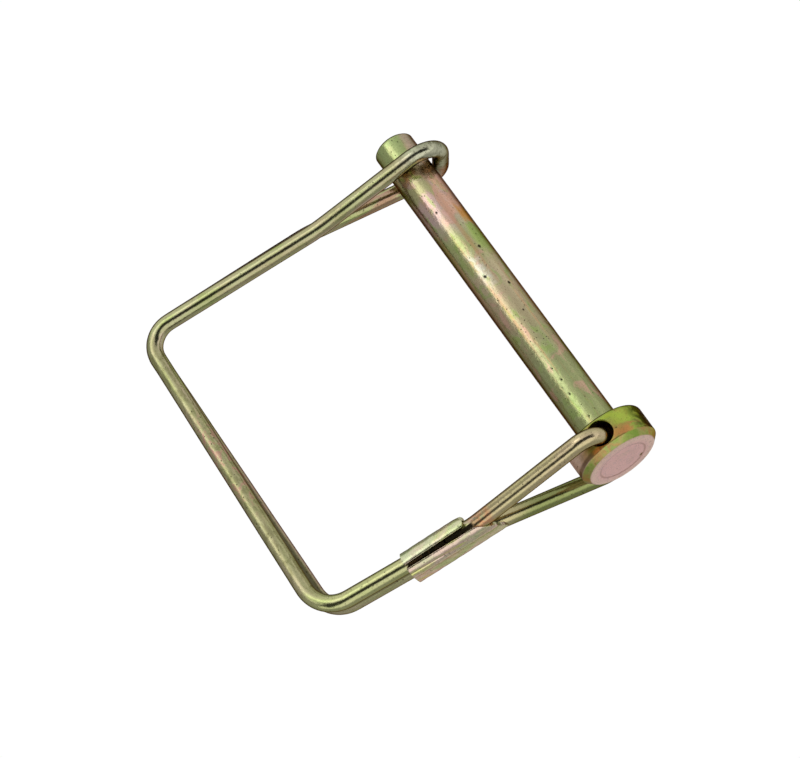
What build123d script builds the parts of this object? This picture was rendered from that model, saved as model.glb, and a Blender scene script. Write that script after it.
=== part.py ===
from build123d import *
import math
import os

# Hitch pin lock: a one-piece headed pin, a doubled spring-wire bail that swings
# in the pin's cross hole and loops over the pin near its tip, and the crimped
# sheet ferrule that closes the wire.
# Millimetres. The origin is on the pin's axis at the underside of the head,
# +X runs along the pin towards its tip, +Y points to the bail's side and +Z is
# the cross hole's direction. Front means +Z and rear means -Z.

# ---- lock pin sizes ---------------------------------------------------------
INCH = 25.4
shaft_r = 5 / 16 * INCH / 2
shaft_len = 2.75 * INCH    # from the head's underside to the tip
grip_len = 59.0            # straight shank; past it the shank draws in a little
lead_r = 3.92              # shank radius where the tip's chamfer begins
tip_chamfer_x = 0.60       # chamfer's length along the pin
tip_r = 3.20
neck_fillet = 0.10
head_r = 7.62
head_fillet = 0.85         # round at the edge of the head's underside
head_side_x = -5.32        # where the side ends and the bevel to the face begins
head_face_x = -6.52        # flat outer face
head_face_r = 6.43
dish_r = 4.70              # slightly dished centre of the face
dish_depth = 0.08
dish_wall_run = 0.20       # radius lost between the dish's rim and its floor
hole_x = -2.88             # cross hole's axis
hole_r = 2.25
hole_overrun = 1.0         # cutter's reach past the head on each side

# ---- wire sizes -------------------------------------------------------------
wire_r = INCH / 8 / 2
half_pitch = 1.60          # each strand's height above or below the bail's plane
arm_slope = 0.131          # the near arm leans this much towards the tip
arm_x0, arm_y0 = 1.70, 41.0
rear_arm_shift = 0.1       # added to x at the rear strand's outer corner
split_x = 63.6             # where the latch loop parts from the bail wire
split_gap = 0.02


def arm_x(y):
    """The near arm's x at a given y."""
    return arm_x0 + arm_slope * (y - arm_y0)


# Corners of each wire's centreline, in order: (x, y, z, bend radius)
bail_corners = [
    (arm_x(58.67), 58.67, half_pitch, 6.5),      # front: near arm to far side
    (arm_x(27.8), 27.8, half_pitch, 8.0),        # front: strand spreads to the hole
    (-3.29, 0.22, 11.00, 3.0),                   # front: into the cross hole
    (-3.26, 0.46, -12.20, 3.4),                  # rear: out of the cross hole
    (-0.50, 25.20, -half_pitch, 6.0),            # rear: strand joins the near arm
    (arm_x(57.81) + rear_arm_shift, 57.81, -half_pitch, 5.8),  # rear: to far side
]
loop_corners = [
    (69.22, 57.80, half_pitch, 4.8),             # front: far side to latch arm
    (64.77, 20.30, half_pitch, 21.0),            # front: strand spreads
    (61.27, -8.49, 7.73, 4.2),                   # front: loop over the pin
    (62.91, -3.96, -6.81, 4.5),                  # rear: loop over the pin
    (67.00, 22.40, -half_pitch, 18.7),           # rear: strand returns
    (70.97, 58.60, -half_pitch, 5.1),            # rear: latch arm to far side
]

# ---- ferrule sizes ----------------------------------------------------------
sheet_t = 0.90
grip_r = wire_r + 0.01     # inside radius where the sheet holds the wires
ferrule_slope = 0.085      # the crimp sits a little askew on the near arm
ferrule_x0, ferrule_y0 = 0.92, 35.35
ferrule_far_y = 41.1       # square end, on the ferrule's own axis
ferrule_cut_y = 26.1       # slanted end, on the ferrule's own axis
cut_spare_y = 6.0          # extra y length, trimmed by the slanted cut
cut_normal = (0.60, -1.0, 0.55)
seam_w = 0.87
seam_deg = 20.0            # the seam leans this much from +Z towards the head
seam_reach = 2.2           # front strand's axis to the seam cutter's centre
seam_depth = 3.0           # seam cutter's size across the sheet
seam_overrun = 1.0         # seam cutter's reach past each end of the tube


def ferrule_x(y):
    """The x of the ferrule's axis at a given y."""
    return ferrule_x0 + ferrule_slope * (y - ferrule_y0)


def point_at_x(corner_a, corner_b, x):
    """Point at x on the straight line through two table corners."""
    a, b = Vector(*corner_a[:3]), Vector(*corner_b[:3])
    return a + (b - a) * ((x - a.X) / (b.X - a.X))


def make_wire(corners, x):
    """Round wire through the corners, with both ends on the far side at x."""
    start = point_at_x(bail_corners[0], loop_corners[0], x)
    end = point_at_x(bail_corners[-1], loop_corners[-1], x)
    points = [start, *(Vector(*corner[:3]) for corner in corners), end]
    radii = [corner[3] for corner in corners]
    with BuildPart() as wire:
        with BuildLine() as run:
            here = start
            for before, corner, after, radius in zip(points, points[1:], points[2:], radii):
                back = (before - corner).normalized()
                ahead = (after - corner).normalized()
                half_angle = math.acos(back.dot(ahead)) / 2
                trim = radius / math.tan(half_angle)
                arc_start = corner + back * trim
                arc_end = corner + ahead * trim
                # the arc's middle lies on the corner's bisector
                to_middle = radius / math.sin(half_angle) - radius
                arc_middle = corner + (back + ahead).normalized() * to_middle
                Line(here, arc_start)
                ThreePointArc(arc_start, arc_middle, arc_end)
                here = arc_end
            Line(here, end)
        with BuildSketch(Plane(origin=start, z_dir=points[1] - start)):
            Circle(wire_r)
        sweep(path=run.wires()[0])
    return wire.part


def make_lock_pin():
    """Shaft, head and tip turned as one piece, with the cross hole."""
    dish_floor_x = head_face_x + dish_depth
    with BuildPart() as pin:
        with BuildSketch(Plane.XY):
            with BuildLine():
                Polyline(
                    (dish_floor_x, 0),
                    (dish_floor_x, dish_r - dish_wall_run),
                    (head_face_x, dish_r),
                    (head_face_x, head_face_r),
                    (head_side_x, head_r),
                    (-head_fillet, head_r),
                )
                RadiusArc((-head_fillet, head_r), (0, head_r - head_fillet), head_fillet)
                Line((0, head_r - head_fillet), (0, shaft_r + neck_fillet))
                RadiusArc((0, shaft_r + neck_fillet), (neck_fillet, shaft_r), -neck_fillet)
                Polyline(
                    (neck_fillet, shaft_r),
                    (grip_len, shaft_r),
                    (shaft_len - tip_chamfer_x, lead_r),
                    (shaft_len, tip_r),
                    (shaft_len, 0),
                    (dish_floor_x, 0),
                )
            make_face()
        revolve(axis=Axis.X)
        with BuildSketch(Plane.XY.offset(-head_r - hole_overrun)):
            with Locations((hole_x, 0)):
                Circle(hole_r)
        extrude(amount=2 * (head_r + hole_overrun), mode=Mode.SUBTRACT)
    return pin.part


def make_ferrule(bail_wire):
    """Open-seam crimp round both strands of the near arm."""
    tube_y = ferrule_far_y - ferrule_cut_y + cut_spare_y
    tube_len = tube_y * math.sqrt(1 + ferrule_slope**2)
    # drawn at the square end, facing the pin; the sketch's y is +Z
    section = Plane(
        origin=(ferrule_x(ferrule_far_y), ferrule_far_y, 0),
        x_dir=(1, -ferrule_slope, 0),
        z_dir=(-ferrule_slope, -1, 0),
    )
    lean = math.radians(seam_deg)
    seam_centre = (
        -seam_reach * math.sin(lean),
        half_pitch + seam_reach * math.cos(lean),
    )
    with BuildPart() as ferrule:
        with BuildSketch(section):
            SlotCenterToCenter(2 * half_pitch, 2 * (grip_r + sheet_t), rotation=90)
            SlotCenterToCenter(2 * half_pitch, 2 * grip_r, rotation=90, mode=Mode.SUBTRACT)
        extrude(amount=tube_len)
        # open seam over the front strand
        with BuildSketch(section.offset(-seam_overrun)):
            with Locations(seam_centre):
                Rectangle(seam_w, seam_depth, rotation=seam_deg)
        extrude(amount=tube_len + 2 * seam_overrun, mode=Mode.SUBTRACT)
        # slanted end facing the pin
        cut = Plane(
            origin=(ferrule_x(ferrule_cut_y), ferrule_cut_y, 0),
            z_dir=cut_normal,
        )
        split(bisect_by=cut, keep=Keep.BOTTOM)
        # the strands spread inside the slanted mouth and press its wall clear
        add(bail_wire, mode=Mode.SUBTRACT)
    return ferrule.part


bail_wire = make_wire(bail_corners, split_x)
parts = {
    "lock_pin": make_lock_pin(),
    "bail_wire": bail_wire,
    "latch_loop": make_wire(loop_corners, split_x + split_gap),
    "ferrule": make_ferrule(bail_wire),
}

os.makedirs("parts", exist_ok=True)
for name, part in parts.items():
    part.label = name
    export_step(part, f"parts/{name}.step")
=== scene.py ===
import math

import bmesh
import bpy
import numpy as np
from mathutils import Matrix, Vector


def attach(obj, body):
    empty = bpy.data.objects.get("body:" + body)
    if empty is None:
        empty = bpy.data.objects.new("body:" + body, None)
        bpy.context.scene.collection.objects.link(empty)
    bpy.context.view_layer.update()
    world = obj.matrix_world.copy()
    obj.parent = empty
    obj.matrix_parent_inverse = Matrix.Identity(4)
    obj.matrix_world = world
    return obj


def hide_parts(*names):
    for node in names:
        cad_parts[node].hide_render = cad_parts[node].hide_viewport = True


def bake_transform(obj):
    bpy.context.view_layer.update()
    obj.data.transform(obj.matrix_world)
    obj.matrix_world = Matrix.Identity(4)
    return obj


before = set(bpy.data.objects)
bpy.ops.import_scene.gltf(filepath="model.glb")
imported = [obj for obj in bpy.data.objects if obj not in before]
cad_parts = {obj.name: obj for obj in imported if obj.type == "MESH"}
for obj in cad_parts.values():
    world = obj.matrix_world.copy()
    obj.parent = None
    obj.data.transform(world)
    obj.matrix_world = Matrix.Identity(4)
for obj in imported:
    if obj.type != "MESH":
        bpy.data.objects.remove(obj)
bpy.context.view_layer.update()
scene = bpy.context.scene
MM = 0.001
rng = np.random.default_rng(7)

# ---------------------------------------------------------------- dimensions
SHANK_R, SHANK_LEN = 3.96875, 69.85
GRIP_LEN, LEAD_R = 59.0, 3.92  # beyond GRIP_LEN the shank narrows to LEAD_R
TIP_CHAMFER_X, TIP_R = 0.60, 3.20
HEAD_R, HEAD_FILLET = 7.62, 0.85
SIDE_X = -5.32  # where the head's round side meets the bevel
FACE_X, FACE_R = -6.52, 6.43
DISH_R, DISH = 4.60, 0.08  # shallow dish in the face
DISH_X = FACE_X + DISH
HOLE_X, HOLE_R, HOLE_EASE = -2.88, 2.25, 0.24

WIRE_R, STRAND_Z = 1.5875, 1.60  # the strands run at z = +STRAND_Z and -STRAND_Z
ARM_SLOPE, ARM_X0, ARM_Y0 = 0.131, 1.70, 41.0
BUTT_Y, BUTT_HALF_GAP = 33.0, 0.40  # the wire's two ends meet inside the ferrule

SHEET_T = 0.90
GRIP_R = WIRE_R + 0.01
FERRULE_SLOPE, FERRULE_X0, FERRULE_Y0 = 0.085, 0.92, 35.35
FERRULE_FAR_Y, FERRULE_MOUTH_Y = 41.1, 26.1
MOUTH_CUT_Z, MOUTH_CUT_X = 0.55, 0.85  # lean of the mouth, Y per mm of z and of x
SEAM_W, SEAM_DEG = 0.87, 20.0  # the seam leans towards -X from the top
FERRULE_UV_SPAN = 40.0  # sheet width that fills one unit of U

FLOOR_Z, FLOOR_HALF, FLOOR_CELLS = -14.4, 1600.0, 24


def arm_x(y):
    """X of the arm that slopes away from the head."""
    return ARM_X0 + ARM_SLOPE * (y - ARM_Y0)


# corners of the wire, in order: x, y, z, bend radius
BAIL_CORNERS = [
    (arm_x(58.67), 58.67, STRAND_Z, 6.5),  # +Z strand: arm turns to +X
    (69.22, 57.80, STRAND_Z, 4.8),  # turns back to -Y
    (64.77, 20.30, STRAND_Z, 21.0),  # strands part
    (61.27, -8.49, 7.73, 4.2),  # loop's end
    (62.91, -3.96, -6.81, 4.5),
    (67.00, 22.40, -STRAND_Z, 18.7),  # -Z strand: strands meet again
    (70.97, 58.60, -STRAND_Z, 5.1),
    (arm_x(57.81) + 0.1, 57.81, -STRAND_Z, 5.8),
    (-0.50, 25.20, -STRAND_Z, 6.0),
    (-3.26, 0.46, -12.20, 3.4),  # into the cross hole
    (-3.29, 0.22, 11.00, 3.0),  # out of it at +Z
    (arm_x(27.8), 27.8, STRAND_Z, 8.0),
]


# ---------------------------------------------------------------- mesh helpers
def add_mesh(name, verts_mm, faces, uv=None, smooth_deg=35.0):
    """A mesh object from arrays; uv is one pair per vertex."""
    mesh = bpy.data.meshes.new(name)
    mesh.from_pydata([tuple(v) for v in (np.asarray(verts_mm) * MM).tolist()], [], faces)
    mesh.validate()
    if uv is not None:
        layer = mesh.uv_layers.new(name="run")
        index = np.zeros(len(mesh.loops), int)
        mesh.loops.foreach_get("vertex_index", index)
        loop_uv = np.asarray(uv, np.float32)[index]
        start = np.zeros(len(mesh.polygons), int)
        count = np.zeros(len(mesh.polygons), int)
        mesh.polygons.foreach_get("loop_start", start)
        mesh.polygons.foreach_get("loop_total", count)
        # quads that cross the seam in U carry on past 1
        quads = start[count == 4][:, None] + np.arange(4)
        u = loop_uv[quads, 0]
        wraps = (u.max(1) - u.min(1)) > 0.5
        u[wraps] = np.where(u[wraps] < 0.5, u[wraps] + 1, u[wraps])
        loop_uv[quads, 0] = u
        layer.data.foreach_set("uv", loop_uv.ravel())
    mesh.shade_smooth()
    if smooth_deg is not None:
        mesh.set_sharp_from_angle(angle=math.radians(smooth_deg))
    ob = bpy.data.objects.new(name, mesh)
    scene.collection.objects.link(ob)
    return ob


def ring_faces(first, second, around):
    """Quads between two closed rings, given the index each ring starts at."""
    faces = []
    for j in range(around):
        k = (j + 1) % around
        faces.append((first + j, first + k, second + k, second + j))
    return faces


def unit(vector):
    return vector / np.linalg.norm(vector)


# -------------------------------------------------------------------- the wire
def centreline(start, corners, end, step=0.22):
    """Dense points along straight runs joined by bend arcs."""
    stations = [start, *(np.array(c[:3], float) for c in corners), end]
    points = [start]
    here = start

    def run(a, b):
        n = max(1, int(np.linalg.norm(b - a) / step))
        for k in range(1, n + 1):
            points.append(a + (b - a) * k / n)

    for i, row in enumerate(corners):
        before, corner, after = stations[i:i + 3]
        radius = row[3]
        back, onward = unit(before - corner), unit(after - corner)
        inner = math.acos(float(np.clip(back @ onward, -1, 1)))
        setback = radius / math.tan(inner / 2)
        arc_start, arc_end = corner + back * setback, corner + onward * setback
        centre = corner + unit(back + onward) * (radius / math.sin(inner / 2))
        run(here, arc_start)
        axis_0 = (arc_start - centre) / radius
        normal = unit(np.cross(axis_0, (arc_end - centre) / radius))
        axis_1 = np.cross(normal, axis_0)
        turn = math.pi - inner
        n = max(4, int(radius * turn / step))
        for k in range(1, n + 1):
            q = turn * k / n
            points.append(centre + radius * (math.cos(q) * axis_0 + math.sin(q) * axis_1))
        here = arc_end
    run(here, end)
    return np.array(points)


def relax(line, rounds):
    """Softens where straight runs meet arcs, so that reflections flow as on drawn wire."""
    soft = line.copy()
    for _ in range(rounds):
        soft[1:-1] = 0.25 * soft[:-2] + 0.5 * soft[1:-1] + 0.25 * soft[2:]
    return soft


def tube(name, line, radius, around=40, end_round=0.35):
    """A wire: rings along a centreline carried by parallel transport, ends slightly rounded."""
    tangent = np.gradient(line, axis=0)
    tangent /= np.linalg.norm(tangent, axis=1)[:, None]
    normal = np.zeros_like(line)
    normal[0] = unit(np.cross(tangent[0], [0, 0, 1.0]))
    for i in range(1, len(line)):
        normal[i] = unit(normal[i - 1] - tangent[i] * (normal[i - 1] @ tangent[i]))
    binormal = np.cross(tangent, normal)
    steps = np.linalg.norm(np.diff(line, axis=0), axis=1)
    run = np.concatenate([[0], np.cumsum(steps)])
    angle = np.linspace(0, 2 * math.pi, around, endpoint=False)
    # drawn wire is a hair uneven: slow swells of about a hundredth of a millimetre
    radii = radius + (0.006 * np.sin(run / 3.1) + 0.005 * np.sin(run / 7.7 + 1.3))
    rings, uvs = [], []

    def add_ring(i, centre, r, along):
        spoke = np.cos(angle)[:, None] * normal[i] + np.sin(angle)[:, None] * binormal[i]
        rings.append(centre + r * spoke)
        uvs.append(np.stack([angle / (2 * math.pi), np.full(around, along)], 1))

    last = len(line) - 1
    for i in range(last + 1):
        add_ring(i, line[i], radii[i], run[i])
    faces = []
    for i in range(last):
        faces += ring_faces(i * around, (i + 1) * around, around)
    # ends: three shrinking rings and a cap
    for end, sign in ((0, -1.0), (last, 1.0)):
        order = int(sign)  # reverses the faces at the start
        previous = end * around
        for part in (0.45, 0.8, 1.0):
            drop = end_round * (1 - math.cos(part * math.pi / 2))
            out = end_round * math.sin(part * math.pi / 2)
            first = len(rings) * around
            centre = line[end] + sign * tangent[end] * out
            add_ring(end, centre, radii[end] - drop, run[end] + sign * out)
            faces += [quad[::order] for quad in ring_faces(previous, first, around)]
            previous = first
        faces.append(tuple(range(previous, previous + around))[::order])
    return add_mesh(name, np.concatenate(rings), faces, np.concatenate(uvs))


# ------------------------------------------------------------------- the pin
# pits on the shank: x, degrees from +Z towards +Y, radius, depth
PITS = [
    (41.2, -33, 0.42, 0.10), (37.0, -16, 0.24, 0.08), (35.4, 3, 0.36, 0.10),
    (32.1, -41, 0.40, 0.10), (32.6, 4, 0.20, 0.07), (30.2, 14, 0.24, 0.09),
    (26.0, -27, 0.38, 0.07), (24.8, -10, 0.20, 0.06), (20.1, -5, 0.22, 0.08),
    (19.2, -2, 0.20, 0.07), (18.8, -36, 0.26, 0.06), (13.5, 4, 0.24, 0.10),
    (10.8, 1, 0.30, 0.10), (9.6, 13, 0.20, 0.07), (7.7, 6, 0.25, 0.11),
    (2.3, -1, 0.26, 0.09), (43.1, 31, 0.24, 0.07), (42.3, -1, 0.20, 0.06),
    (22.7, 61, 0.24, 0.07), (28.6, 17, 0.20, 0.06), (3.2, 17, 0.20, 0.06),
    (51.4, 7, 0.28, 0.10), (55.8, -26, 0.20, 0.05), (59.9, -44, 0.22, 0.06),
]
# a nick in the head's face: x, y, z, radius, depth
NICK = np.array([
    (FACE_X + 0.03, -2.95, -3.25, 0.42, 0.20),
    (FACE_X + 0.03, -3.25, -2.85, 0.30, 0.14),
])
# how far the dark mark of a dent outgrows it, on x, y, z, radius, depth
PIT_MARK = (1, 1, 1, 1.15, 10)
NICK_MARK = (1, 1, 1, 0.9, 6)


def dents(points, spots):
    """How far each point is pushed in by round pits (x, y, z, radius, depth)."""
    depths = np.zeros(len(points))
    for x, y, z, radius, depth in spots:
        q = np.sum((points - np.array([x, y, z])) ** 2, 1) / (radius * radius)
        depths += depth * np.exp(-2.2 * q)
    return depths


def shank_spots():
    """Listed pits with crumbs beside them, and random ones all round the shank."""
    spots = []

    def add(x, a, radius, depth):
        spots.append((x, SHANK_R * math.sin(a), SHANK_R * math.cos(a), radius, depth))

    for x, degrees, radius, depth in PITS:
        a = math.radians(degrees)
        add(x, a, radius, depth)
        for _ in range(2):
            turn, shift = rng.normal(0, 0.09), rng.normal(0, 0.55)
            add(x + shift, a + turn, radius * 0.5, depth * 0.4)
    for _ in range(70):
        x, a = rng.uniform(2, 67), rng.uniform(0.9, 2 * math.pi - 0.9)
        add(x, a, rng.uniform(0.12, 0.32), rng.uniform(0.03, 0.09))
    return np.array(spots)


def arc_points(x, y, radius, start_deg, end_deg, n):
    points = []
    for k in range(n + 1):
        a = math.radians(start_deg + (end_deg - start_deg) * k / n)
        points.append((x + radius * math.cos(a), y + radius * math.sin(a)))
    return points


def eased_corner(corner, way_in, way_out, setback, n=6):
    """A quadratic curve that cuts a corner, starting setback before it."""
    a, b = corner - way_in * setback, corner + way_out * setback
    return [
        tuple((1 - q) ** 2 * a + 2 * q * (1 - q) * corner + q * q * b)
        for q in (k / n for k in range(n + 1))
    ]


def pin_profile():
    """(x, radius) from the face's centre over the rim and along the shank to the tip."""
    outward, along = np.array([0, 1.0]), np.array([1.0, 0])
    profile = [(DISH_X, 0.0)]
    for r in np.linspace(0.25, DISH_R - 0.35, 16):
        profile.append((DISH_X - 0.010 * math.sin(r * 2.1), float(r)))
    # soft rim round the dish
    for k in range(9):
        t = k / 8
        profile.append((DISH_X - DISH * (3 * t * t - 2 * t ** 3), DISH_R - 0.3 + 0.5 * t))
    for r in np.linspace(DISH_R + 0.4, FACE_R - 0.40, 5):
        profile.append((FACE_X, float(r)))
    # bevel between face and side, with eased corners
    face_edge, side_edge = np.array([FACE_X, FACE_R]), np.array([SIDE_X, HEAD_R])
    bevel = unit(side_edge - face_edge)
    face_ease, side_ease = 0.34, 0.14
    profile += eased_corner(face_edge, outward, bevel, face_ease)
    a, b = face_edge + bevel * face_ease, side_edge - bevel * side_ease
    profile += [tuple(a + (b - a) * t) for t in (0.25, 0.5, 0.75)]
    profile += eased_corner(side_edge, bevel, along, side_ease)
    # side, fillet, underside and the small fillet at the root of the shank
    for x in np.linspace(SIDE_X + 0.35, -HEAD_FILLET - 0.25, 16):
        profile.append((float(x), HEAD_R))
    profile += arc_points(-HEAD_FILLET, HEAD_R - HEAD_FILLET, HEAD_FILLET, 90, 0, 10)
    for r in np.linspace(HEAD_R - HEAD_FILLET - 0.3, SHANK_R + 0.25, 7):
        profile.append((0.0, float(r)))
    profile += arc_points(0.1, SHANK_R + 0.1, 0.1, 180, 270, 4)
    for x in np.linspace(0.3, GRIP_LEN, 236):
        profile.append((float(x), SHANK_R))
    chamfer_x = SHANK_LEN - TIP_CHAMFER_X
    for x in np.linspace(GRIP_LEN, chamfer_x - 0.35, 36)[1:]:
        t = (x - GRIP_LEN) / (chamfer_x - GRIP_LEN)
        profile.append((float(x), SHANK_R + (LEAD_R - SHANK_R) * t))
    # chamfered tip
    chamfer_start, chamfer_end = np.array([chamfer_x, LEAD_R]), np.array([SHANK_LEN, TIP_R])
    chamfer = unit(chamfer_end - chamfer_start)
    profile += eased_corner(chamfer_start, along, chamfer, 0.30)
    profile += eased_corner(chamfer_end, chamfer, -outward, 0.22)
    for r in np.linspace(TIP_R - 0.5, 0.3, 9):
        profile.append((SHANK_LEN + 0.01 * math.sin(r * 3), float(r)))
    profile.append((SHANK_LEN, 0.0))
    return profile


def lathe(profile, around=176):
    """Vertices, faces and UVs of a profile turned about X."""
    verts, uv, rows = [], [], []
    for x, r in profile:
        if r == 0:
            rows.append([len(verts)])
            verts.append((x, 0, 0))
            uv.append((0.5, x))
            continue
        rows.append(list(range(len(verts), len(verts) + around)))
        for a in np.linspace(0, 2 * math.pi, around, endpoint=False):
            verts.append((x, r * math.sin(a), r * math.cos(a)))
            uv.append((a / (2 * math.pi), x))
    faces = []
    for p, q in zip(rows[:-1], rows[1:]):
        for j in range(around):
            k = (j + 1) % around
            if len(p) == 1:
                faces.append((p[0], q[j], q[k]))
            elif len(q) == 1:
                faces.append((p[j], q[0], p[k]))
            else:
                faces.append((p[j], q[j], q[k], p[k]))
    return np.array(verts, float), faces, np.array(uv)


def make_pin_blank(spots):
    """The pin without its cross hole, a little uneven and pitted."""
    v, faces, uv = lathe(pin_profile())
    x = v[:, 0].copy()
    r = np.hypot(v[:, 1], v[:, 2])
    out = np.stack([np.zeros(len(v)), v[:, 1], v[:, 2]], 1) / np.maximum(r, 1e-6)[:, None]
    turn = np.arctan2(v[:, 1], v[:, 2])
    # waves of a few thousandths along and round the shank
    shank = (x > 0.5) & (x < SHANK_LEN - 1)
    wave = 0.006 * np.sin(x / 2.3 + 2 * np.sin(turn)) + 0.005 * np.sin(3 * turn + x / 5.1)
    wave += 0.004 * np.sin(5 * turn - x / 3.3)
    v -= out * (np.where(shank, np.abs(wave), 0) * 0.8)[:, None]
    # four shallow flats round the head's side, twisting along it
    side = (x < -HEAD_FILLET) & (r > HEAD_R - 0.05)
    v -= out * (np.where(side, 0.012 + 0.012 * np.sin(4 * turn + x), 0))[:, None]
    v -= out * np.where(shank, dents(v, spots), 0)[:, None]
    # nick and shallow bumps on the head's face
    face = (x < DISH_X + 0.03) & (r < FACE_R - 0.4)
    v[:, 0] += np.where(face, dents(v, NICK), 0)
    bumps = 0.010 * np.sin(v[:, 1] * 1.7 + 0.6) * np.cos(v[:, 2] * 1.3)
    v[:, 0] += np.where(face, bumps, 0)
    return add_mesh("pin_blank", v, faces, uv, None)


def make_hole_cutter():
    """A straight bore along Z whose two mouths are eased over the head's round side."""
    around = 120
    # turned a little, so that none of its edges falls exactly on an edge of the lathe
    a = np.linspace(0, 2 * math.pi, around, endpoint=False) + 0.0171
    surface = np.sqrt(HEAD_R ** 2 - ((HOLE_R + HOLE_EASE) * np.sin(a)) ** 2)

    def ring(r, z):
        return np.stack([HOLE_X + r * np.cos(a), r * np.sin(a), z], 1)

    # straight ends that carry on beyond the surface
    end_r, end_z = HOLE_R + HOLE_EASE * 1.25, HEAD_R + 1.5
    rings = [ring(end_r, np.full(around, -end_z))]
    for sign, levels in ((-1, range(6, -1, -1)), (1, range(7))):
        for k in levels:
            q = math.pi / 2 * k / 6  # 0 at the bore's wall, 90 deg at the head's surface
            r = HOLE_R + HOLE_EASE * (1 - math.cos(q))
            rings.append(ring(r, sign * (surface - HOLE_EASE + HOLE_EASE * math.sin(q))))
    rings.append(ring(end_r, np.full(around, end_z)))
    faces = []
    for i in range(len(rings) - 1):
        faces += ring_faces(i * around, (i + 1) * around, around)
    last = (len(rings) - 1) * around
    faces.append(tuple(range(around))[::-1])
    faces.append(tuple(range(last, last + around)))
    return add_mesh("hole_cutter", np.concatenate(rings), faces, None, None)


def make_pin():
    spots = shank_spots()
    blank = make_pin_blank(spots)
    cutter = make_hole_cutter()
    mod = blank.modifiers.new("cross_hole", "BOOLEAN")
    mod.operation, mod.object, mod.solver = "DIFFERENCE", cutter, "EXACT"
    depsgraph = bpy.context.evaluated_depsgraph_get()
    mesh = bpy.data.meshes.new_from_object(blank.evaluated_get(depsgraph))
    mesh.shade_smooth()
    mesh.set_sharp_from_angle(angle=math.radians(38))
    # "pit" tells the material where the dents are
    points = np.zeros(len(mesh.vertices) * 3)
    mesh.vertices.foreach_get("co", points)
    points = points.reshape(-1, 3) * 1000
    x = points[:, 0]
    mark = np.where(x > 0.4, dents(points, spots * PIT_MARK), 0)
    mark += np.where(x < DISH_X + 0.3, dents(points, NICK * NICK_MARK), 0)
    layer = mesh.attributes.new("pit", "FLOAT", "POINT")
    layer.data.foreach_set("value", np.clip(mark, 0, 1).astype(np.float32))
    ob = bpy.data.objects.new("lock_pin_skin", mesh)
    scene.collection.objects.link(ob)
    bpy.data.objects.remove(blank)
    bpy.data.objects.remove(cutter)
    return ob


# ---------------------------------------------------------------- the ferrule
def bell(value, centre, width):
    return math.exp(-((value - centre) / width) ** 2)


def clamp01(value):
    return min(1.0, max(0.0, value))


def fade(distance, reach):
    """1 at no distance, falling straight to 0 at reach."""
    return max(0.0, 1 - distance / reach)


def sheet_midline():
    """Rows (side, z, normal side, normal z) across the sheet, and their distance from its
    -X lip: down that flank, round the -Z strand, up the +X flank and over to the other lip."""
    mid_r = GRIP_R + SHEET_T / 2
    half_open = SEAM_W / 2 / mid_r
    seam = math.pi / 2 + math.radians(SEAM_DEG)

    def arc(start, end, centre_z, n):
        return [
            (mid_r * math.cos(a), centre_z + mid_r * math.sin(a), math.cos(a), math.sin(a))
            for a in np.linspace(start, end, n)
        ]

    def flat(sign):
        return [
            (sign * mid_r, sign * STRAND_Z * (2 * t - 1), sign, 0.0)
            for t in np.linspace(0, 1, 9)[1:-1]
        ]

    mid = np.array(
        arc(seam + half_open, math.pi, STRAND_Z, 12)
        + flat(-1.0)
        + arc(math.pi, 2 * math.pi, -STRAND_Z, 33)
        + flat(1.0)
        + arc(0, seam - half_open, STRAND_Z, 24)
    )
    measured = np.concatenate([[0], np.cumsum(np.hypot(*np.diff(mid[:, :2], axis=0).T))])
    width = measured[-1]
    # finer by the -X lip, where the crease is, and by the other lip
    across = np.concatenate([
        np.linspace(0, 2.4, 40),
        np.linspace(2.4, width - 1.0, 80)[1:],
        np.linspace(width - 1.0, width, 14)[1:],
    ])
    sheet = np.stack([np.interp(across, measured, mid[:, k]) for k in range(4)], 1)
    sheet[:, 2:] /= np.hypot(sheet[:, 2], sheet[:, 3])[:, None]
    return sheet, across


def mouth_y(across, to_lip, side, z):
    """Y of the sheared mouth; to_lip is the distance to the second lip."""
    y = FERRULE_MOUTH_Y + MOUTH_CUT_Z * z + MOUTH_CUT_X * side
    # rounded corners at both lips
    y += 1.3 * fade(to_lip, reach=1.3) ** 2 + 0.5 * fade(across, reach=0.5) ** 2
    # two tongues on the -X flank
    y -= 0.85 * bell(across, centre=2.0, width=1.5) + 0.85 * bell(across, centre=4.9, width=1.7)
    # the +X flank is sheared almost straight across
    y += 0.55 * clamp01(side / 2.0) * max(0.0, 1.6 - z)
    return y + 0.10 * math.sin(across * 1.7)


def sheet_relief(across, to_lip, down, share, full):
    """Height of the outer skin over the plain sheet; share is 0 at the far end, 1 at the mouth."""
    swell = 0.035 * math.sin(math.pi * clamp01(down / full)) - 0.03
    tuck = -0.07 * max(0.0, (share - 0.90) / 0.10) ** 2  # pressed in at the mouth
    # a crease beside the -X lip, sharp near the far end, with a ridge behind it
    sharp = 1 - clamp01((down - 5.5) / 4.0)
    line = 1.18 + 0.030 * down
    crease = -0.10 * sharp * bell(across, centre=line, width=0.11)
    crease -= 0.11 * bell(across, centre=line + 0.02, width=0.42)
    crease += 0.07 * bell(across, centre=line + 0.95, width=0.50)
    lips = -0.05 * bell(across, centre=0, width=0.16) - 0.05 * bell(to_lip, centre=0, width=0.20)
    wobble = 0.012 * math.sin(down * 1.9 + across * 1.3)
    wobble += 0.009 * math.sin(down * 3.7 - across * 2.1)
    return swell + tuck + crease + lips + wobble


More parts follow.
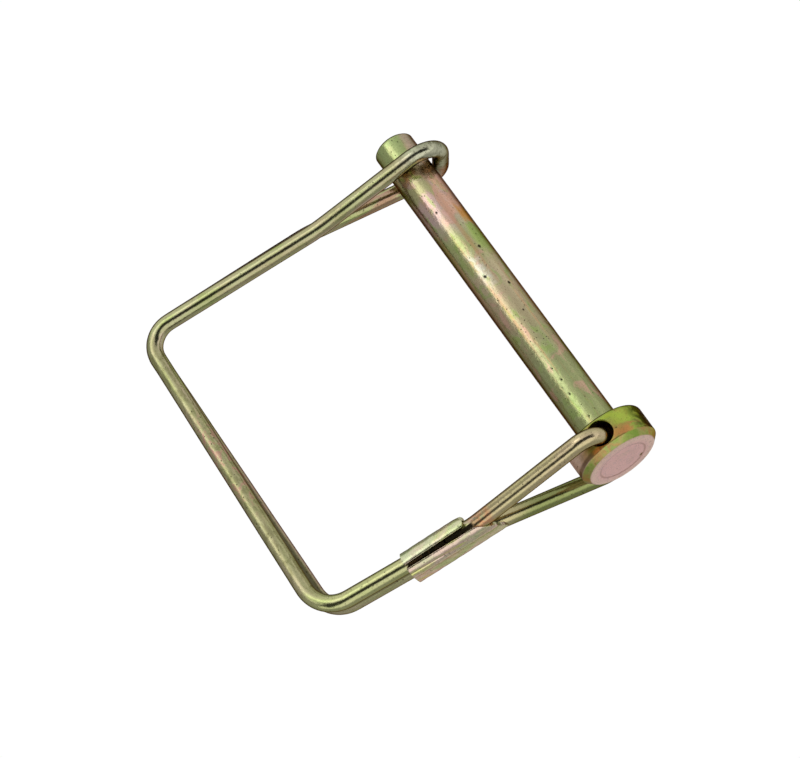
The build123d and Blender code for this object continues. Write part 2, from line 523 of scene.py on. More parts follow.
def make_ferrule():
    """The crimp: a sheet wrapped round both strands, lips apart over the +Z strand."""
    stretch = math.sqrt(1 + FERRULE_SLOPE ** 2)
    run = np.array([FERRULE_SLOPE, 1.0, 0.0]) / stretch
    side_way = np.array([1.0, -FERRULE_SLOPE, 0.0]) / stretch
    far_x = FERRULE_X0 + FERRULE_SLOPE * (FERRULE_FAR_Y - FERRULE_Y0)
    far = np.array([far_x, FERRULE_FAR_Y, 0.0])
    full = (FERRULE_FAR_Y - FERRULE_MOUTH_Y) * stretch
    sheet, distances = sheet_midline()
    width = distances[-1]
    rows, columns = 80, len(distances)
    outer, inner, uv = [], [], []
    for i in range(rows):
        share = i / (rows - 1)
        for across, (side, z, normal_side, normal_z) in zip(distances, sheet):
            to_lip = width - across
            # the far end isn't sheared dead square
            y_far = FERRULE_FAR_Y - 0.05 * math.sin(across * 0.9 + 0.7)
            y_far -= 0.10 * fade(to_lip, reach=0.6)
            start = (FERRULE_FAR_Y - y_far) * stretch
            end = (FERRULE_FAR_Y - mouth_y(across, to_lip, side, z)) * stretch
            down = start + (end - start) * share
            # the seam is pinched at the far end and opens towards the mouth
            shut = 0.13 - 0.24 * clamp01(down / 12.7)
            shut *= fade(across, reach=2.6) - fade(to_lip, reach=2.6)
            relief = SHEET_T / 2 + sheet_relief(across, to_lip, down, share, full)
            for skin, lift in ((outer, relief), (inner, -SHEET_T / 2 + 0.02)):
                skin_side = side + normal_side * lift + normal_z * shut
                skin_z = z + normal_z * lift - normal_side * shut
                skin.append(far - run * down + side_way * skin_side + np.array([0, 0, skin_z]))
            uv.append((across / FERRULE_UV_SPAN, down))
    inside = rows * columns
    faces = []
    for i in range(rows - 1):
        for j in range(columns - 1):
            a = i * columns + j
            b, c, d = a + 1, a + columns + 1, a + columns
            faces.append((a, b, c, d))
            faces.append((inside + a, inside + d, inside + c, inside + b))
    # rims: far end and mouth, then the two lips
    for j in range(columns - 1):
        faces.append((j, inside + j, inside + j + 1, j + 1))
        a = (rows - 1) * columns + j
        faces.append((a, a + 1, inside + a + 1, inside + a))
    for i in range(rows - 1):
        a, b = i * columns, (i + 1) * columns
        faces.append((a, b, inside + b, inside + a))
        a, b = a + columns - 1, b + columns - 1
        faces.append((a, inside + a, inside + b, b))
    ob = add_mesh("ferrule_skin", np.array(outer + inner), faces, np.array(uv * 2), 45)
    bm = bmesh.new()
    bm.from_mesh(ob.data)
    bmesh.ops.recalc_face_normals(bm, faces=bm.faces)
    bm.to_mesh(ob.data)
    bm.free()
    ob.data.set_sharp_from_angle(angle=math.radians(45))
    bevel = ob.modifiers.new("eased_edges", "BEVEL")
    bevel.width, bevel.segments = 0.08 * MM, 3
    bevel.limit_method, bevel.angle_limit = "ANGLE", math.radians(50)
    bevel.harden_normals = False
    return ob


# ---------------------------------------------------------------- node helpers
def rgba(*channels):
    """Linear colour from sRGB channels of 0 to 255."""
    linear = []
    for channel in channels:
        c = channel / 255
        linear.append(c / 12.92 if c <= 0.04045 else ((c + 0.055) / 1.055) ** 2.4)
    return (*linear, 1.0)


class Nodes:
    """A little shorthand for building node trees."""

    def __init__(self, tree):
        self.tree = tree
        tree.nodes.clear()

    def new(self, kind, ins=None, **props):
        node = self.tree.nodes.new(kind)
        for key, value in props.items():
            setattr(node, key, value)
        for key, value in (ins or {}).items():
            if isinstance(value, bpy.types.NodeSocket):
                self.tree.links.new(value, node.inputs[key])
            else:
                node.inputs[key].default_value = value
        return node

    def math(self, operation, a, b=0.0, c=0.0):
        ins = {0: a, 1: b, 2: c}
        return self.new("ShaderNodeMath", operation=operation, ins=ins).outputs[0]

    def add(self, a, b):
        return self.math("ADD", a, b)

    def sub(self, a, b):
        return self.math("SUBTRACT", a, b)

    def mul(self, first, *others):
        for other in others:
            first = self.math("MULTIPLY", first, other)
        return first

    def flip(self, value):
        return self.sub(1.0, value)

    def lerp(self, fac, off, on):
        return self.add(off, self.mul(fac, self.sub(on, off)))

    def stray(self, value, noise, reach):
        """A value pushed to and fro by noise."""
        return self.add(value, self.mul(self.sub(noise, 0.5), reach))

    def split(self, vector):
        return self.new("ShaderNodeSeparateXYZ", {0: vector}).outputs

    def combine(self, x, y, z=0.0):
        return self.new("ShaderNodeCombineXYZ", {0: x, 1: y, 2: z}).outputs[0]

    def mapping(self, vector, scale, loc=(0, 0, 0)):
        ins = {"Vector": vector, "Scale": scale, "Location": loc}
        return self.new("ShaderNodeMapping", ins).outputs[0]

    def noise(self, vector, scale, detail, rough=0.5, distort=0.0):
        ins = {"Vector": vector, "Scale": scale, "Detail": detail, "Roughness": rough,
               "Distortion": distort}
        return self.new("ShaderNodeTexNoise", ins).outputs["Fac"]

    def ramp(self, fac, stops):
        """stops: (position, (red, green, blue)) with channels of 0 to 255."""
        node = self.new("ShaderNodeValToRGB", {"Fac": fac})
        elements = node.color_ramp.elements
        while len(elements) > 1:
            elements.remove(elements[-1])
        for i, (position, colour) in enumerate(stops):
            element = elements[0] if i == 0 else elements.new(position)
            element.position = position
            element.color = rgba(*colour)
        return node.outputs["Color"]

    def mix(self, fac, a, b):
        return self.new("ShaderNodeMix", {0: fac, 6: a, 7: b}, data_type="RGBA").outputs[2]

    def rise(self, value, start, end, low=0.0, high=1.0):
        """Smooth step from low at start to high at end; end may be the smaller."""
        ins = {"Value": value, "From Min": start, "From Max": end, "To Min": low, "To Max": high}
        return self.new("ShaderNodeMapRange", ins, interpolation_type="SMOOTHSTEP").outputs[0]

    def band(self, value, centre, half, soft):
        """1 within half of centre, falling to 0 over a further soft."""
        away = self.math("ABSOLUTE", self.sub(value, centre))
        return self.rise(away, half, half + soft, low=1.0, high=0.0)


class Film(Nodes):
    """The node tree of a plated part. Its named fields, in millimetres, place the stains."""

    def __init__(self, tree):
        super().__init__(tree)
        self.coords = self.new("ShaderNodeTexCoord").outputs
        self.place = self.mapping(self.coords["Object"], scale=(1000, 1000, 1000))
        x, y, z = self.split(self.place)
        # U goes once round the part and V runs along it
        uv = self.new("ShaderNodeUVMap", uv_map="run").outputs[0]
        self.u, self.v, _ = self.split(uv)
        turn = self.mul(self.u, 2 * math.pi)
        self.cosine, self.sine = self.math("COSINE", turn), self.math("SINE", turn)
        small = self.box_noise((0.7, 0.9, 0.9), (9, 1, 4), detail=5.0, rough=0.6, distort=0.3)
        self.fields = {"x": x, "y": y, "z": z, "small": small}

    def box_noise(self, scale, loc, **look):
        return self.noise(self.mapping(self.place, scale, loc), 1.0, **look)

    def wrap_noise(self, across, along, shift=0.0, **look):
        """Noise that closes round the part and runs along it."""
        x, y = self.mul(self.cosine, across), self.mul(self.sine, across)
        z = self.math("MULTIPLY_ADD", self.v, along, shift)
        return self.noise(self.combine(x, y, z), 1.0, **look)

    def mask(self, *specs):
        """Product of masks, each (field, start, end) for a rise, (field, centre, half width,
        soft edge) for a band, or the name of a field that is a mask already."""
        masks = []
        for spec in specs:
            if isinstance(spec, str):
                masks.append(self.fields[spec])
            else:
                shape = self.rise if len(spec) == 3 else self.band
                masks.append(shape(self.fields[spec[0]], *spec[1:]))
        return self.mul(*masks)

    def stain(self, colour, *stains):
        """Lays stains over a colour, each (strength, (red, green, blue), masks...)."""
        for strength, tint, *specs in stains:
            colour = self.mix(self.mul(self.mask(*specs), strength), colour, rgba(*tint))
        return colour

    def patches(self, colour, start, end, strength, stops):
        """Blotches from the field "mid", strongest away from its middle value."""
        mid = self.fields["mid"]
        away = self.math("ABSOLUTE", self.sub(mid, 0.5))
        fac = self.mul(self.rise(away, start, end), strength)
        return self.mix(fac, colour, self.ramp(mid, stops))

    def ferrule_offset(self):
        """Distance in X from the ferrule's axis."""
        x0 = FERRULE_X0 - FERRULE_SLOPE * FERRULE_Y0
        axis_x = self.math("MULTIPLY_ADD", self.fields["y"], FERRULE_SLOPE, x0)
        return self.sub(self.fields["x"], axis_x)


# --------------------------------------------------------- the pin's film
# Ramp tables hold (position, colour); stain tables hold (strength, colour, masks...) with
# masks as in Film.mask. "angle" is in radians from +Z towards +Y.
PIN_ALONG = [  # greener by the head, tan in the middle, pink to salmon towards the tip
    (0.02, (158, 160, 98)), (0.20, (160, 160, 104)), (0.34, (180, 162, 116)),
    (0.52, (196, 174, 130)), (0.61, (172, 176, 106)), (0.72, (200, 170, 148)),
    (0.82, (204, 164, 142)), (0.93, (160, 150, 96)), (1.0, (166, 170, 108)),
]
PIN_PATCHES = [
    (0.34, (156, 174, 88)), (0.42, (176, 180, 116)), (0.50, (206, 184, 150)),
    (0.57, (176, 158, 112)), (0.66, (212, 160, 132)),
]
SHANK_STAINS = [
    # brown on the +Y flank, copper streaks
    (0.45, (150, 112, 78), ("angle", 0.62, 1.15)),
    (0.35, (206, 140, 92), ("streak", 0.55, 0.68)),
    # single spots along the shank
    (0.8, (222, 168, 130), ("warped", 54.5, 2.6, 2.6), ("angle", -0.80, 0.30, 0.30),
     ("small", 0.30, 0.56)),
    (0.85, (218, 150, 70), ("warped", 49.0, 1.2, 2.2), ("angle", -1.00, 0.14, 0.20)),
    (0.8, (170, 168, 104), ("warped", 57.2, 0.7, 1.6), ("angle", -0.55, -0.30)),
    (0.7, (172, 184, 112), ("x", 62.0, 64.0), ("angle", -0.75, -0.35)),
    (0.7, (196, 168, 140), ("x", 62.0, 64.0), ("angle", -0.45, -0.85)),
    (0.65, (158, 176, 84), ("warped", 43.0, 1.6, 2.4), ("angle", -0.90, 0.16, 0.22)),
    (0.65, (204, 200, 170), ("warped", 37.0, 2.0, 3.5), ("angle", 0.0, 0.16, 0.25),
     ("small", 0.36, 0.60)),
    (0.55, (162, 168, 106), ("warped", 8.5, 3.5, 5.0), ("angle", 0.05, 0.35, 0.35),
     ("small", 0.32, 0.58)),
]
HEAD_SIDE = [
    (0.34, (182, 190, 66)), (0.46, (160, 176, 74)), (0.56, (164, 152, 76)),
    (0.66, (176, 128, 70)),
]
HEAD_SIDE_STAINS = [
    # painted shadow of the wire: brown over the +Y side
    (0.35, (142, 112, 66), ("angle", 0.05, 0.45)),
    # bright green, then ragged rust beside the bevel
    (0.75, (180, 192, 72), ("angle", -0.78, 0.30, 0.22), ("x", -2.0, 0.9, 0.9)),
    (0.80, (204, 132, 74), ("ragged_angle", -0.42, 0.16, 0.30), ("ragged_x", -4.7, 0.45, 0.9)),
    # painted dark reflection, mottled, on the -Y flank
    (0.85, (66, 70, 36), ("angle", -0.72, -1.10), ("shade", 0.30, 0.55)),
    # pale pink on the +Y flank, brown and orange beside the bevel there
    (0.95, (250, 206, 172), ("angle", 0.40, 0.70)),
    (0.65, (112, 82, 52), ("angle", 0.30, 0.50), ("x", -4.95, 0.25, 0.45)),
    (0.8, (212, 132, 64), ("angle", 0.20, 0.14, 0.12), ("x", -5.0, 0.3, 0.35)),
]
HEAD_BEVEL = [
    (0.38, (140, 160, 66)), (0.48, (170, 164, 88)), (0.56, (182, 142, 82)),
    (0.64, (150, 160, 84)),
]
HEAD_BEVEL_STAIN = (0.7, (206, 176, 146), ("angle", 1.1, 2.0))
HEAD_FACE_STAINS = [  # a ring round the dish, grey blotches
    (0.45, (150, 108, 76), ("radius", 4.55, 0.06, 0.22)),
    (0.25, (188, 158, 152), ("small", 0.52, 0.66)),
]


def pin_film(film):
    """Colour, metallic and roughness of the pin."""
    fields = film.fields
    x, y, z = fields["x"], fields["y"], fields["z"]
    big = film.wrap_noise(across=0.85, along=0.075, shift=3.1, detail=2.5, distort=0.5)
    mid = film.wrap_noise(
        across=1.9, along=0.20, shift=8.4, detail=3.0, rough=0.55, distort=0.7)
    angle = film.math("ARCTAN2", y, z)
    fields.update(
        mid=mid,
        angle=angle,
        warped=film.stray(x, mid, reach=9.0),
        streak=film.wrap_noise(across=3.4, along=0.035, shift=2.0, detail=2.0, distort=0.2),
    )
    along = film.stray(film.mul(x, 1 / 70.0), big, reach=0.16)
    colour = film.ramp(along, PIN_ALONG)
    colour = film.patches(colour, start=0.02, end=0.14, strength=0.62, stops=PIN_PATCHES)
    colour = film.stain(colour, *SHANK_STAINS)

    # the head's side is vivid green with orange and brown stain
    head = film.mask(("x", 0.15, -0.55))
    blotch = film.box_noise((0.45, 0.26, 0.26), (0.2, 5.1, 3.3), detail=3.0, distort=1.0)
    fields.update(
        ragged_angle=film.stray(angle, blotch, reach=2.2),
        ragged_x=film.stray(x, fields["small"], reach=2.4),
        shade=film.box_noise(
            (1.1, 0.8, 0.8), (7.2, 2.1, 0.3), detail=4.0, rough=0.6, distort=0.6),
    )
    side = film.stain(film.ramp(blotch, HEAD_SIDE), *HEAD_SIDE_STAINS)
    colour = film.mix(head, colour, side)

    bevel = film.mul(film.mask(("x", -5.25, -5.45)), film.flip(film.mask(("x", -6.30, -6.48))))
    blotch = film.box_noise((0.3, 0.30, 0.30), (4.2, 0.1, 0.9), detail=2.0, distort=0.5)
    colour = film.mix(bevel, colour, film.stain(film.ramp(blotch, HEAD_BEVEL), HEAD_BEVEL_STAIN))

    # the face is a flat pink, less metallic and duller
    face = film.mask(("x", -6.28, -6.46))
    squares = film.add(film.math("POWER", y, 2.0), film.math("POWER", z, 2.0))
    fields["radius"] = film.math("SQRT", squares)
    outer = film.mask(("radius", 4.3, 6.2))
    pink = film.mix(outer, rgba(228, 180, 160), rgba(228, 190, 160))
    colour = film.mix(face, colour, film.stain(pink, *HEAD_FACE_STAINS))
    metallic = film.flip(film.mul(face, 0.72))
    rough = film.add(0.17, film.add(film.mul(head, 0.16), film.mul(face, 0.22)))
    return colour, metallic, rough


# --------------------------------------------------------- the wire's film
WIRE_BASE = [
    (0.34, (160, 166, 102)), (0.44, (184, 182, 132)), (0.52, (176, 172, 122)),
    (0.60, (196, 176, 146)), (0.68, (166, 176, 104)),
]
WIRE_PATCHES = [
    (0.36, (158, 176, 88)), (0.46, (190, 186, 140)), (0.56, (200, 168, 140)),
    (0.66, (160, 156, 100)),
]
WIRE_STAINS = [
    # paler and warmer over the head, partly painted light; the -Z side there is greener and
    # darker, partly painted shade
    (0.60, (214, 194, 140), ("x", 8.0, 4.0), ("y", 27.0, 23.0)),
    (0.75, (122, 140, 70), ("z", -1.2, -4.0), ("x", 12.0, 6.0), ("y", 28.0, 25.0)),
    # straw along the arm beyond the ferrule, greener on the +Z strand
    (0.7, (188, 194, 124), ("x", 12.0, 6.0), ("y", 40.0, 42.0), ("z", -0.8, 0.8)),
    (0.6, (200, 192, 140), ("x", 12.0, 6.0), ("y", 40.0, 42.0), ("z", 0.8, -0.8)),
    # silver mottle round the loop's end, copper on its -Z side
    (0.75, (190, 194, 156), "loop_end"),
    (0.6, (104, 104, 74), "loop_end", ("small", 0.50, 0.62)),
    (0.75, (180, 134, 106), ("x", 50.0, 56.0), ("y", 22.0, 14.0), ("z", -0.5, -3.0),
     ("mid", 0.36, 0.52)),
    # the long run at high Y is duller and mottled, rosy in places
    (0.50, (184, 178, 126), "far"),
    (0.55, (132, 128, 80), "far", ("cloud", 0.46, 0.62)),
    (0.65, (196, 138, 122), "far", ("x", 38.0, 6.0, 9.0), ("cloud", 0.50, 0.40)),
    (0.65, (196, 156, 146), "far", ("z", -0.4, -1.4), "low_x"),
    # painted shade in the groove between the strands
    (0.80, (46, 38, 26), ("y", 20.0, 24.0), ("z", 0.0, 0.40, 0.45)),
    # copper glow where the +Z strand leaves the ferrule
    (0.8, (226, 158, 108), "near", ("y", 25.4, 0.9, 1.9), ("z", 0.6, 1.6),
     ("small", 0.34, 0.60)),
]
# brown speckles over the painted shade inside the ferrule
SEAM_SHADE_SPECKLES = (0.8, (104, 78, 48), ("y", 32.0, 37.0), ("small", 0.50, 0.62))


def wire_film(film):
    """Colour, metallic and roughness of the wire."""
    fields = film.fields
    big = film.wrap_noise(across=0.55, along=0.045, shift=5.2, detail=2.0, distort=0.4)
    far_end = film.flip(film.mask(("x", 63.0, 67.0)))
    fields.update(
        mid=film.wrap_noise(across=1.1, along=0.13, shift=1.7, detail=3.0, distort=0.5),
        cloud=film.wrap_noise(
            across=1.6, along=0.42, shift=4.4, detail=4.0, rough=0.62, distort=0.8),
        loop_end=film.mask(("x", 50.0, 56.0), ("y", 2.0, -3.0)),
        far=film.mul(film.mask(("y", 50.0, 54.0), ("x", 5.0, 10.0)), far_end),
        low_x=film.flip(film.mask(("x", 30.0, 48.0))),
        near=film.mask(("x", 8.0, 6.0)),
        offset=film.ferrule_offset(),
    )
    colour = film.ramp(big, WIRE_BASE)
    colour = film.patches(colour, start=0.03, end=0.13, strength=0.5, stops=WIRE_PATCHES)
    colour = film.stain(colour, *WIRE_STAINS)
    # painted shade on the wire inside the ferrule and under its seam
    under = film.mask(("y", 27.0, 27.6), ("offset", -0.62, 0.30, 0.18), ("z", 1.0, 2.0))
    inside = film.math("MAXIMUM", under, film.mask(("y", 28.7, 29.5)))
    inside = film.mul(fields["near"], inside, film.flip(film.mask(("y", 40.55, 40.95))))
    # near black: painted shade, with brown speckles
    seam_shade = film.stain(rgba(30, 24, 18), SEAM_SHADE_SPECKLES)
    colour = film.mix(film.mul(inside, 0.97), colour, seam_shade)
    rough = film.add(0.16, film.add(film.mul(inside, 0.45), film.mul(fields["far"], 0.13)))
    return colour, 1.0, rough


# --------------------------------------------------------- the ferrule's film
FERRULE_BASE = [
    (0.36, (176, 184, 128)), (0.46, (196, 186, 146)), (0.54, (204, 180, 152)),
    (0.62, (190, 192, 112)), (0.70, (206, 172, 146)),
]
FERRULE_PATCHES = [(0.38, (178, 186, 128)), (0.50, (198, 184, 152)), (0.62, (208, 172, 148))]
# green on the +X half
FERRULE_STAIN = (0.7, (178, 190, 138), ("offset", -0.6, 0.0), ("mid", 0.34, 0.52))


def ferrule_film(film):
    """Colour, metallic and roughness of the ferrule."""
    big = film.box_noise((0.35, 0.11, 0.35), (1.3, 4.1, 2.0), detail=2.5, distort=0.6)
    film.fields.update(
        mid=film.box_noise(
            (0.7, 0.28, 0.7), (6.3, 0.1, 5.0), detail=3.0, rough=0.55, distort=0.5),
        offset=film.ferrule_offset(),
    )
    colour = film.ramp(big, FERRULE_BASE)
    colour = film.patches(colour, start=0.03, end=0.13, strength=0.4, stops=FERRULE_PATCHES)
    return film.stain(colour, FERRULE_STAIN), 1.0, 0.24


# ------------------------------------------------------------- the plating
# gain: brightness of the plate under the film; girth: width that one unit of U covers;
# lines: drawing lines round the part and their height; ripple: height of slow unevenness
FINISHES = {
    "pin": dict(film=pin_film, gain=(1.15, 1.24, 1.50), girth=2 * math.pi * SHANK_R,
                lines=26.0, line_height=0.25, ripple=8.0),
    "wire": dict(film=wire_film, gain=(1.12, 1.14, 1.30), girth=2 * math.pi * WIRE_R,
                 lines=15.0, line_height=0.30, ripple=4.5),
    "ferrule": dict(film=ferrule_film, gain=(1.48, 1.48, 1.78), girth=FERRULE_UV_SPAN,
                    lines=40.0, line_height=0.2, ripple=8.0),
}
THIN_STAIN = (0.30, (128, 104, 66), ("thin", 0.58, 0.72))
PIT_STAIN = (0.88, (44, 34, 26), "pit")
# painted shade along edges seen edge-on
RIM_SHADE_STAIN = (0.62, (66, 56, 34), "rim")
TINY_STAIN = (0.55, (92, 74, 46), ("tiny", 0.60, 0.72))


def pit_mask(film, kind):
    """Dark pinholes, fine specks along the part, and the pits modelled in the pin."""

    def cells(vector, **props):
        """Voronoi distance and two random numbers per cell."""
        node = film.new("ShaderNodeTexVoronoi", {"Vector": vector, "Scale": 1.0}, **props)
        chance = film.new("ShaderNodeSeparateColor", {0: node.outputs["Color"]}).outputs
        return node.outputs["Distance"], chance[0], chance[1]

    def dots(distance, radius):
        ratio = film.math("DIVIDE", distance, film.math("MAXIMUM", radius, 0.0001))
        return film.rise(ratio, start=1.0, end=0.2)

    distance, chance, _ = cells(
        film.mapping(film.place, scale=(0.62, 0.62, 0.62), loc=(0.3, 0.2, 0.9)))
    # the power keeps most pinholes tiny, up to a radius of 0.13 of a cell
    pit = dots(distance, film.mul(film.math("POWER", chance, 3.6), 0.13))

    # specks: about 1.1 cells per mm over the unrolled surface, kept in some cells and zones
    unrolled = film.combine(
        film.mul(film.u, 1.15 * FINISHES[kind]["girth"]),
        film.math("MULTIPLY_ADD", film.v, 1.05, 3.7))
    distance, chance, pick = cells(unrolled, voronoi_dimensions="2D")
    zone = film.box_noise((0.09, 0.3, 0.3), (2.4, 7.7, 1.1), detail=2.0, distort=0.2)
    some = film.mul(
        film.rise(pick, start=0.70, end=0.74), film.rise(zone, start=0.34, end=0.56))
    if kind == "pin":
        # none on the end faces, where they would smear into spokes
        normal_x = film.math("ABSOLUTE", film.split(film.coords["Normal"])[0])
        some = film.mul(some, film.flip(film.rise(normal_x, start=0.45, end=0.75)))
    radius = film.mul(film.math("MULTIPLY_ADD", chance, 0.15, 0.11), some)
    pit = film.math("MAXIMUM", pit, film.mul(dots(distance, radius), 0.75))
    if kind == "pin":
        made = film.new("ShaderNodeAttribute", attribute_name="pit").outputs["Fac"]
        pit = film.math("MAXIMUM", pit, film.rise(made, start=0.30, end=0.62))
    return pit


def rim_shade_mask(film, kind):
    """Painted shade where the surface is seen edge-on; left off the pin's face, bevel and pink
    flank.
    """
    facing = film.new("ShaderNodeLayerWeight", {"Blend": 0.5}).outputs["Facing"]
    rim = film.rise(facing, start=0.42, end=0.74)
    if kind == "pin":
        pink = film.mask(("x", -0.2, -0.6), ("angle", 0.2, 0.6))
        rim = film.mul(rim, film.mask(("x", -5.45, -5.20)), film.flip(pink))
    return rim


def zinc(kind):
    """Zinc plate under a yellow chromate film: long soft patches of olive, straw, green and
    pink, fine plating grain, drawing lines and dark pits."""
    finish = FINISHES[kind]
    mat = bpy.data.materials.new("zinc_" + kind)
    mat.use_nodes = True
    film = Film(mat.node_tree)
    fields = film.fields
    colour, metallic, rough = finish["film"](film)
    lift = film.new("ShaderNodeVectorMath", {0: colour, 1: finish["gain"]}, operation="MULTIPLY")

    grain = film.noise(film.place, scale=5.0, detail=5.0, rough=0.7)
    fine = film.noise(film.place, scale=13.0, detail=3.0, rough=0.6)
    lines = film.wrap_noise(across=finish["lines"], along=0.10, detail=3.0, rough=0.6)
    pit = pit_mask(film, kind)
    fields.update(
        pit=pit,
        thin=film.box_noise((1.5, 1.5, 1.5), (2, 8, 5), detail=6.0, rough=0.65, distort=0.3),
        tiny=film.box_noise(
            (2.6, 2.6, 2.6), (3.3, 6.1, 8.8), detail=3.0, rough=0.7, distort=0.2),
    )
    # thin spots in the film, then pits
    colour = film.stain(lift.outputs[0], THIN_STAIN, PIT_STAIN)
    if kind != "ferrule":
        # painted shade where the surface is seen edge-on
        fields["rim"] = rim_shade_mask(film, kind)
        colour = film.stain(colour, RIM_SHADE_STAIN)
    # grain speckle in the film itself
    speckle = film.mul(film.rise(grain, start=0.50, end=0.68), 0.55)
    colour = film.mix(speckle, colour, film.mix(0.6, colour, rgba(84, 74, 44)))
    colour = film.stain(colour, TINY_STAIN)

    rough = film.stray(rough, fields["small"], reach=0.16)
    rough = film.add(rough, film.mul(pit, 0.4))
    # relief: grain, drawing lines and ripple raised, pits sunk
    height = film.add(film.mul(grain, 0.7), film.mul(fine, 0.3))
    height = film.add(height, film.mul(lines, finish["line_height"]))
    height = film.add(height, film.mul(fields["small"], finish["ripple"]))
    height = film.sub(height, film.mul(pit, 1.5))
    bump = film.new("ShaderNodeBump", {"Strength": 0.5, "Distance": 0.000018, "Height": height})
    surface = film.new("ShaderNodeBsdfPrincipled", {
        "Base Color": colour,
        "Metallic": metallic,
        "Roughness": rough,
        "Normal": bump.outputs[0],
        "Specular Tint": (0.30, 0.22, 0.20, 1),
        "Specular IOR Level": 0.35,
    })
    film.new("ShaderNodeOutputMaterial", {0: surface.outputs[0]})
    return mat


# ------------------------------------------------------------ build the pieces
pin = make_pin()
pin.data.materials.clear()
pin.data.materials.append(zinc("pin"))
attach(pin, "pin")
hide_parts("lock_pin")

butt = np.array([arm_x(BUTT_Y), BUTT_Y, STRAND_Z])
arm_way = np.array([ARM_SLOPE, 1.0, 0.0]) / math.sqrt(1 + ARM_SLOPE ** 2)
bail_line = centreline(
    butt + arm_way * BUTT_HALF_GAP, BAIL_CORNERS, butt - arm_way * BUTT_HALF_GAP)
wire = tube("bail_wire_skin", relax(bail_line, rounds=6), WIRE_R - 0.012)
wire.data.materials.append(zinc("wire"))
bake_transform(wire)
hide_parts("bail_wire", "latch_loop")

ferrule = make_ferrule()
ferrule.data.materials.append(zinc("ferrule"))
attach(ferrule, "bail")
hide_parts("ferrule")


# --------------------------------------------------------------------- stage
def floor_material():
    """Lit white paper: clean white to the lens, dimmer where the metal mirrors it."""
    mat = bpy.data.materials.new("floor_white")
    mat.use_nodes = True
    nodes = Nodes(mat.node_tree)
    place = nodes.new("ShaderNodeTexCoord").outputs["Object"]
    paper = nodes.noise(place, scale=40.0, detail=3.0)
    colour = nodes.mix(nodes.mul(paper, 0.04), (1.0, 1.0, 1.0, 1), (0.97, 0.97, 0.97, 1))
    camera_ray = nodes.new("ShaderNodeLightPath").outputs["Is Camera Ray"]
    way = nodes.split(nodes.new("ShaderNodeNewGeometry").outputs["Incoming"])
    # brighter in mirror rays from +Y and from straight above
    flank = nodes.rise(way[1], start=0.15, end=0.60, high=0.24)
    steep = nodes.rise(way[2], start=0.68, end=0.93, high=0.42)
    mirrored = nodes.add(0.38, nodes.add(flank, steep))
    level = nodes.add(
        nodes.mul(mirrored, nodes.flip(camera_ray)), nodes.mul(camera_ray, 1.02))
    light = nodes.new("ShaderNodeEmission", {"Color": colour, "Strength": level})
    nodes.new("ShaderNodeOutputMaterial", {0: light.outputs[0]})
    return mat


def make_floor():
    n = FLOOR_CELLS
    ticks = [(i / n - 0.5) * 2 * FLOOR_HALF for i in range(n + 1)]
    verts = [(x, y, FLOOR_Z) for x in ticks for y in ticks]
    faces = []
    for i in range(n):
        for j in range(n):
            a = i * (n + 1) + j
            faces.append((a, a + n + 1, a + n + 2, a + 1))
    ob = add_mesh("floor", np.array(verts), faces, None, None)
    ob.data.materials.append(floor_material())


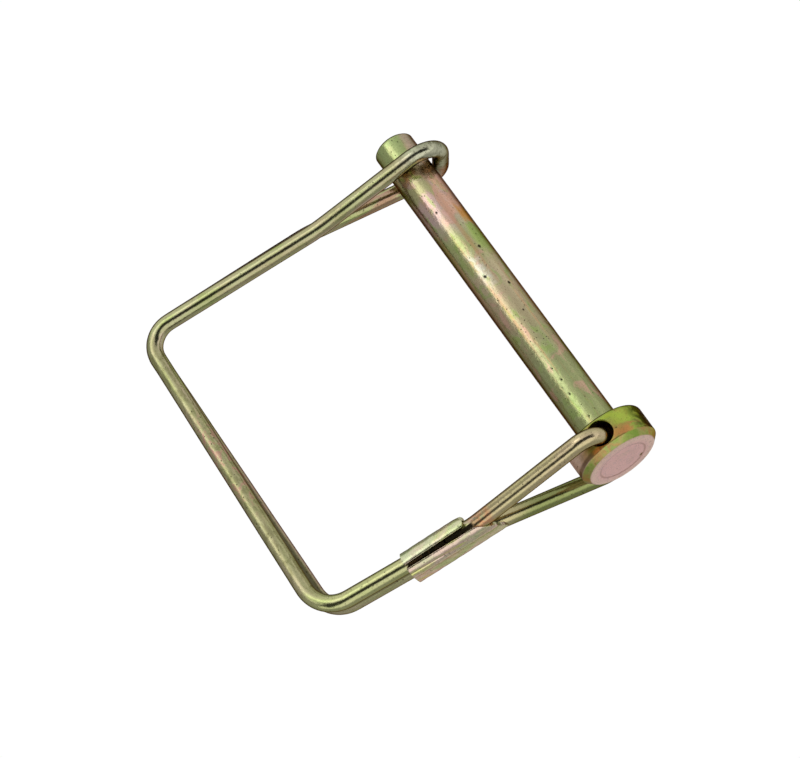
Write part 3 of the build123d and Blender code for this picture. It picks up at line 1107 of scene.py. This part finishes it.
def make_world():
    """A soft tent: a bank over the tip's end (+X) with a clean edge towards +Y, another over
    the head's end (-X), and a dark slot between them."""
    world = bpy.data.worlds.new("studio")
    scene.world = world
    world.use_nodes = True
    nodes = Nodes(world.node_tree)
    rise, lerp, mul, flip = nodes.rise, nodes.lerp, nodes.mul, nodes.flip
    x, y, z = nodes.split(nodes.new("ShaderNodeTexCoord").outputs["Generated"])

    # tip bank: its +Y edge reaches further at low x, and it dims towards -Y
    reach = nodes.add(0.46, mul(rise(x, start=0.38, end=0.25), 0.30))
    past = nodes.sub(y, reach)
    tip_bank = lerp(rise(past, start=-0.045, end=0.045), off=0.88, on=0.42)
    dimming = lerp(rise(y, start=-0.10, end=-0.55), off=1.0, on=0.74)
    last_lift = mul(rise(y, start=-0.72, end=-0.92), 0.16)
    tip_bank = mul(tip_bank, nodes.add(dimming, last_lift))
    # a hot strip within it
    hot_x = mul(rise(x, start=0.22, end=0.34), flip(rise(x, start=0.52, end=0.66)))
    hot_y = mul(rise(y, start=-0.12, end=0.24), flip(rise(past, start=-0.055, end=0.03)))
    tip_bank = nodes.add(tip_bank, mul(mul(hot_x, hot_y), 0.80))

    head_bank = lerp(rise(z, start=0.0, end=0.25), off=0.66, on=1.02)
    sky = lerp(rise(x, start=-0.34, end=-0.20), off=head_bank, on=tip_bank)
    sky = mul(sky, lerp(rise(z, start=-0.05, end=0.20), off=0.72, on=1.0))

    # the slot narrows towards +Y
    slot_end = nodes.sub(0.05, mul(rise(y, start=0.45, end=0.70), 0.17))
    beyond = nodes.sub(x, slot_end)
    slot_x = mul(rise(x, start=-0.61, end=-0.51), flip(rise(beyond, start=-0.06, end=0.06)))
    off_centre = nodes.math("ABSOLUTE", y)
    slot_yz = mul(flip(rise(off_centre, start=0.74, end=0.86)), rise(z, start=0.25, end=0.42))
    level = mul(sky, flip(mul(mul(slot_x, slot_yz), 0.955)))

    # even light below the horizon, plain white to the lens
    level = lerp(rise(z, start=-0.06, end=-0.02), off=0.42, on=level)
    camera_ray = nodes.new("ShaderNodeLightPath").outputs["Is Camera Ray"]
    level = lerp(camera_ray, off=level, on=1.0)
    light = nodes.new("ShaderNodeBackground", {"Color": (1.0, 0.997, 0.99, 1), "Strength": level})
    nodes.new("ShaderNodeOutputWorld", {0: light.outputs[0]})


def softbox(name, place, aim, size, power):
    light = bpy.data.lights.new(name, "AREA")
    light.shape, light.energy = "RECTANGLE", power
    light.size, light.size_y = size[0] * MM, size[1] * MM
    ob = bpy.data.objects.new(name, light)
    scene.collection.objects.link(ob)
    ob.location = Vector(place) * MM
    ob.rotation_mode = "QUATERNION"
    ob.rotation_quaternion = (Vector(aim) - Vector(place)).to_track_quat("-Z", "Y")


def make_camera():
    data = bpy.data.cameras.new("camera")
    ob = bpy.data.objects.new("camera", data)
    scene.collection.objects.link(ob)
    right = (-0.521432, -0.789526, -0.323663)
    up = (0.744023, -0.606396, 0.280562)
    backward = (-0.417778, -0.094519, 0.903619)
    pose = Matrix((right, up, backward)).transposed().to_4x4()
    pose.translation = Vector((-173.977, -22.986, 444.409)) * MM
    ob.rotation_mode = "QUATERNION"
    ob.matrix_world = pose
    data.sensor_width = 36.0
    data.lens = 123.8706
    data.clip_start, data.clip_end = 0.01, 20.0
    scene.camera = ob


make_floor()
make_world()
softbox("key", place=(270, 140, 470), aim=(33, 25, 0), size=(350, 250), power=0.03)
make_camera()

scene.view_settings.view_transform = "Standard"
scene.view_settings.look = "None"
scene.view_settings.exposure = 0.0
scene.view_settings.gamma = 1.0
